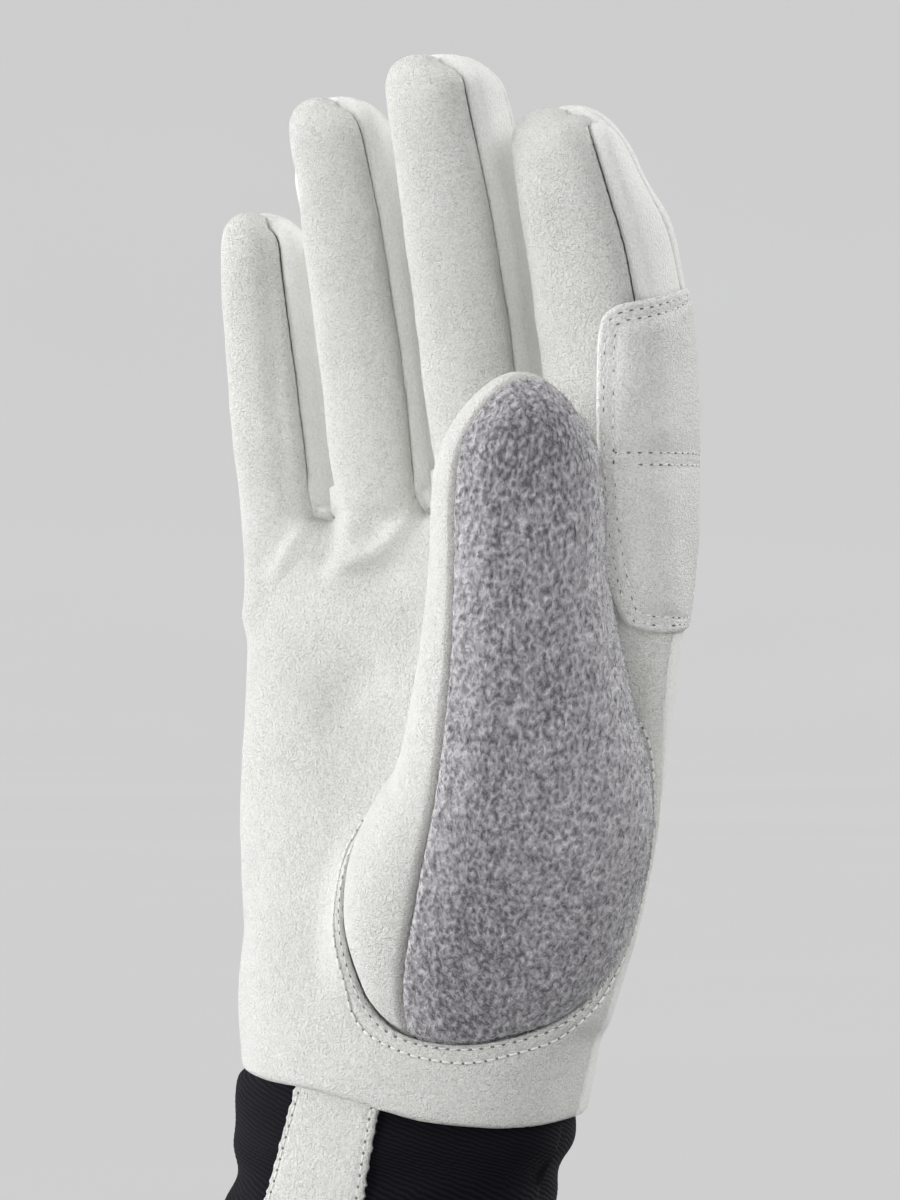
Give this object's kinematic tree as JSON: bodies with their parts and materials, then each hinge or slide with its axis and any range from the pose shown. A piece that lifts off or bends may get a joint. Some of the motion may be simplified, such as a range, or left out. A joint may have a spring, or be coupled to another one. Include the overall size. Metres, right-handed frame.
{
  "type": "cross-country ski glove",
  "caption": "Right-hand ski glove in its worn form, with a suede palm, white fabric back, fleece thumb panel, padded index overlay, stretch cuff and pull strap.",
  "frame": {"origin": "centre of the cuff's lower opening, where the wrist comes out", "axes": "+Z from the cuff towards the fingertips, -Y out of the palm, +X towards the thumb"},
  "size_m": [0.1003, 0.0706, 0.2441],
  "materials": {
    "suede": "off-white synthetic suede with a short dry nap",
    "softshell": "white fine-twill softshell, matte",
    "fleece": "purple-grey short-pile fleece, clumped and matte",
    "knit": "black fine-ribbed stretch knit, matte"
  },
  "bodies": {
    "root": {"palm": "suede", "back": "softshell", "fourchette_little_ring": "softshell", "fourchette_ring_middle": "softshell", "fourchette_middle_index": "softshell", "index_side": "softshell", "index_patch": "suede", "thumb_palm": "suede", "thumb_fleece": "fleece", "cuff": "knit", "pull_strap": "suede"}
  },
  "joints": []
}
